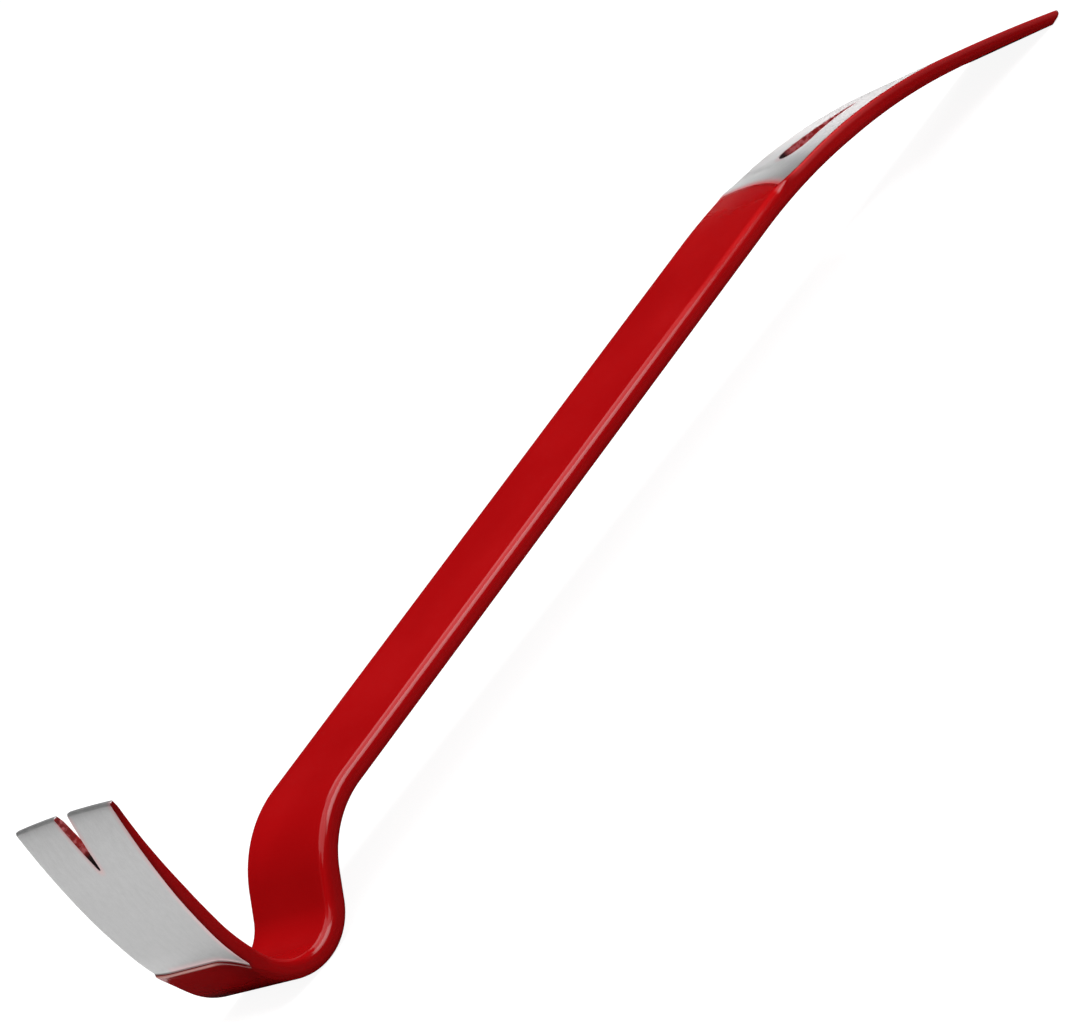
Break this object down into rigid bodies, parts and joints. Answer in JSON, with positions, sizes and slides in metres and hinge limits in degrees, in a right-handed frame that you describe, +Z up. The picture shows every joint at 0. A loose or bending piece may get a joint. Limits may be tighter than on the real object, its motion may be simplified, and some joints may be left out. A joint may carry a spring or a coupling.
{
  "type": "flat pry bar",
  "caption": "Flat steel pry bar with a hooked, notched claw at one end, a long curved blade with a teardrop nail slot at the other, and painted steel between.",
  "frame": {"origin": "centre of the footprint, on the surface that the bar lies on", "axes": "+X along the bar from the claw to the blade, +Y across the bar, +Z up, the way the claw points"},
  "size_m": [0.3816, 0.0514, 0.0694],
  "materials": {
    "ground_steel": "ground satin, bare on the claw's outer face and on the flat of the blade's front face",
    "red_paint": "glossy red enamel with a faint orange peel"
  },
  "bodies": {
    "root": {"forged_bar": "ground_steel", "paint_coat": "red_paint"}
  },
  "joints": []
}
